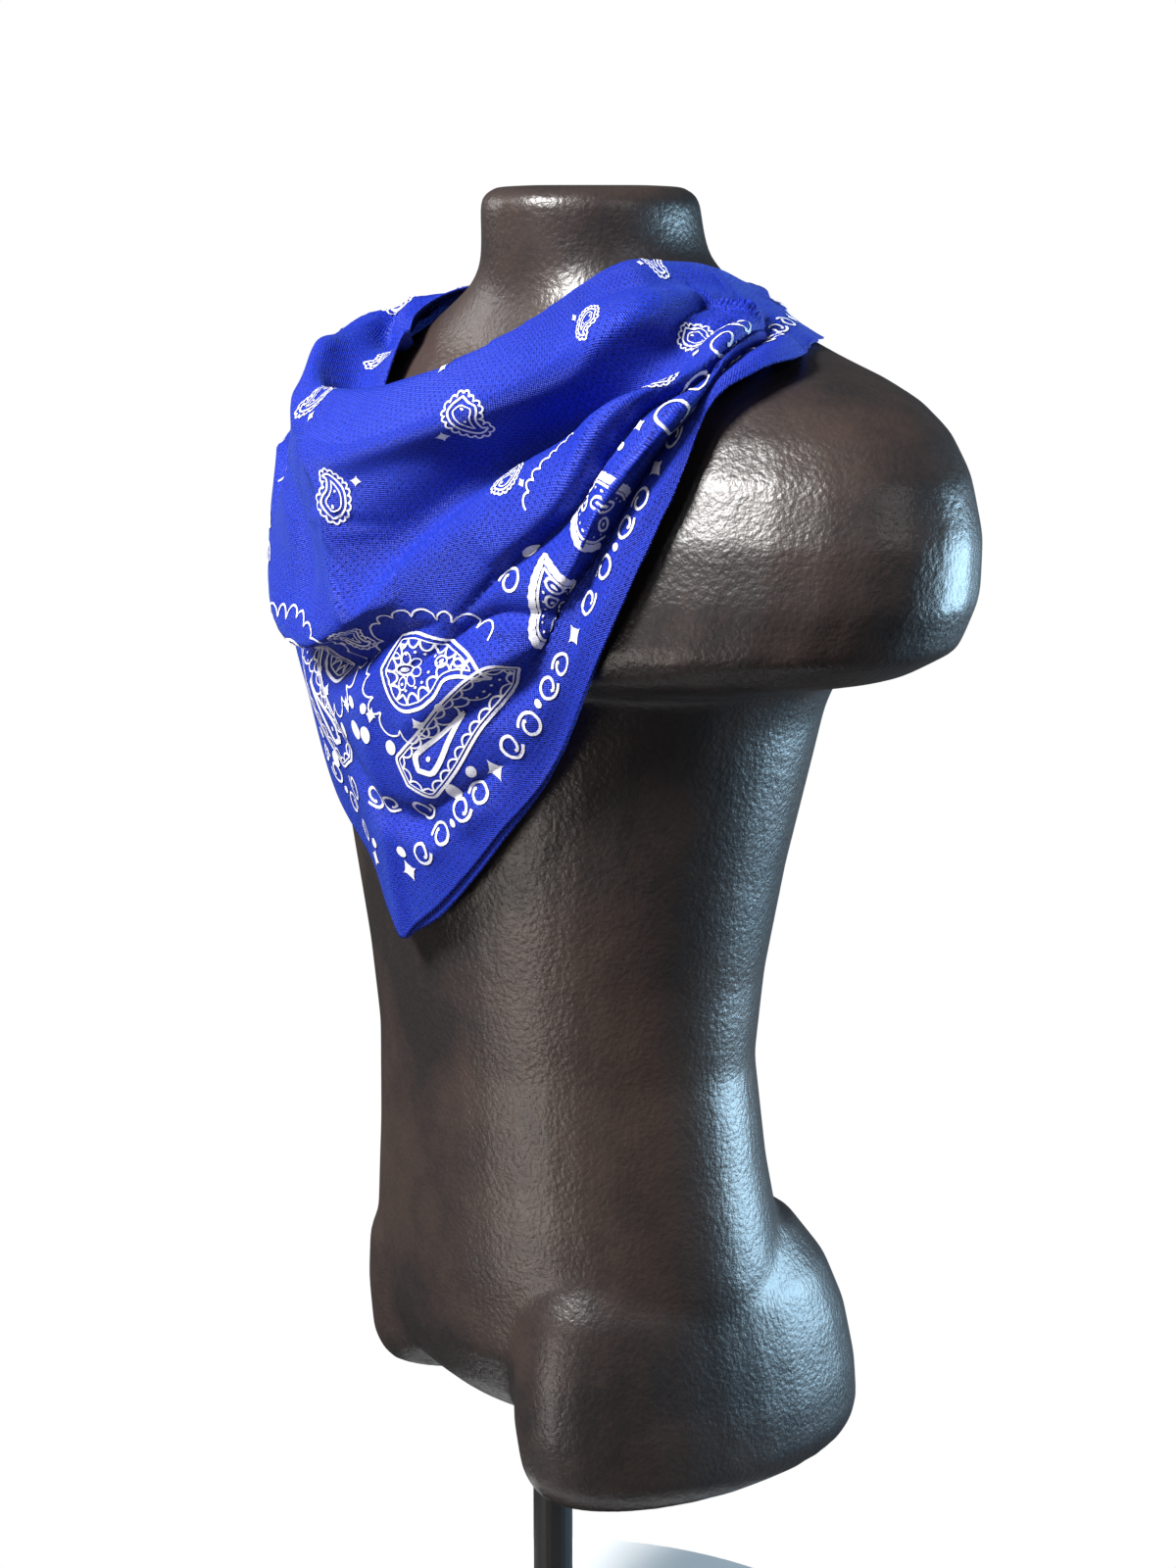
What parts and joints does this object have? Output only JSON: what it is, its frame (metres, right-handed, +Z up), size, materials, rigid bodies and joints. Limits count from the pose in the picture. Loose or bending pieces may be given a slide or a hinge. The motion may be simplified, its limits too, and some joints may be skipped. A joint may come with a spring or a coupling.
{
  "type": "bandana on torso form",
  "caption": "Square printed bandana folded corner to corner and tied at the nape, cowl and point in front, on a limbless torso form with a post and round base.",
  "frame": {"origin": "middle of the stand's underside, which rests on the counter", "axes": "+Z up, the front of the form and the bandana's point face -Y, the wearer's left is +X"},
  "size_m": [0.502, 0.303, 0.89],
  "materials": {
    "bandana_knit": "royal blue polyester knit with a white print and a soft sheen",
    "form_metal": "black-brown hammered cast finish, half gloss",
    "stand_metal": "black paint, half gloss"
  },
  "bodies": {
    "root": {"bandana_top_layer": "bandana_knit", "bandana_under_layer": "bandana_knit", "knot": "bandana_knit", "tail_left": "bandana_knit", "tail_right": "bandana_knit", "torso_form": "form_metal", "stand_collar": "stand_metal", "stand_post": "stand_metal", "stand_base": "stand_metal"}
  },
  "joints": []
}
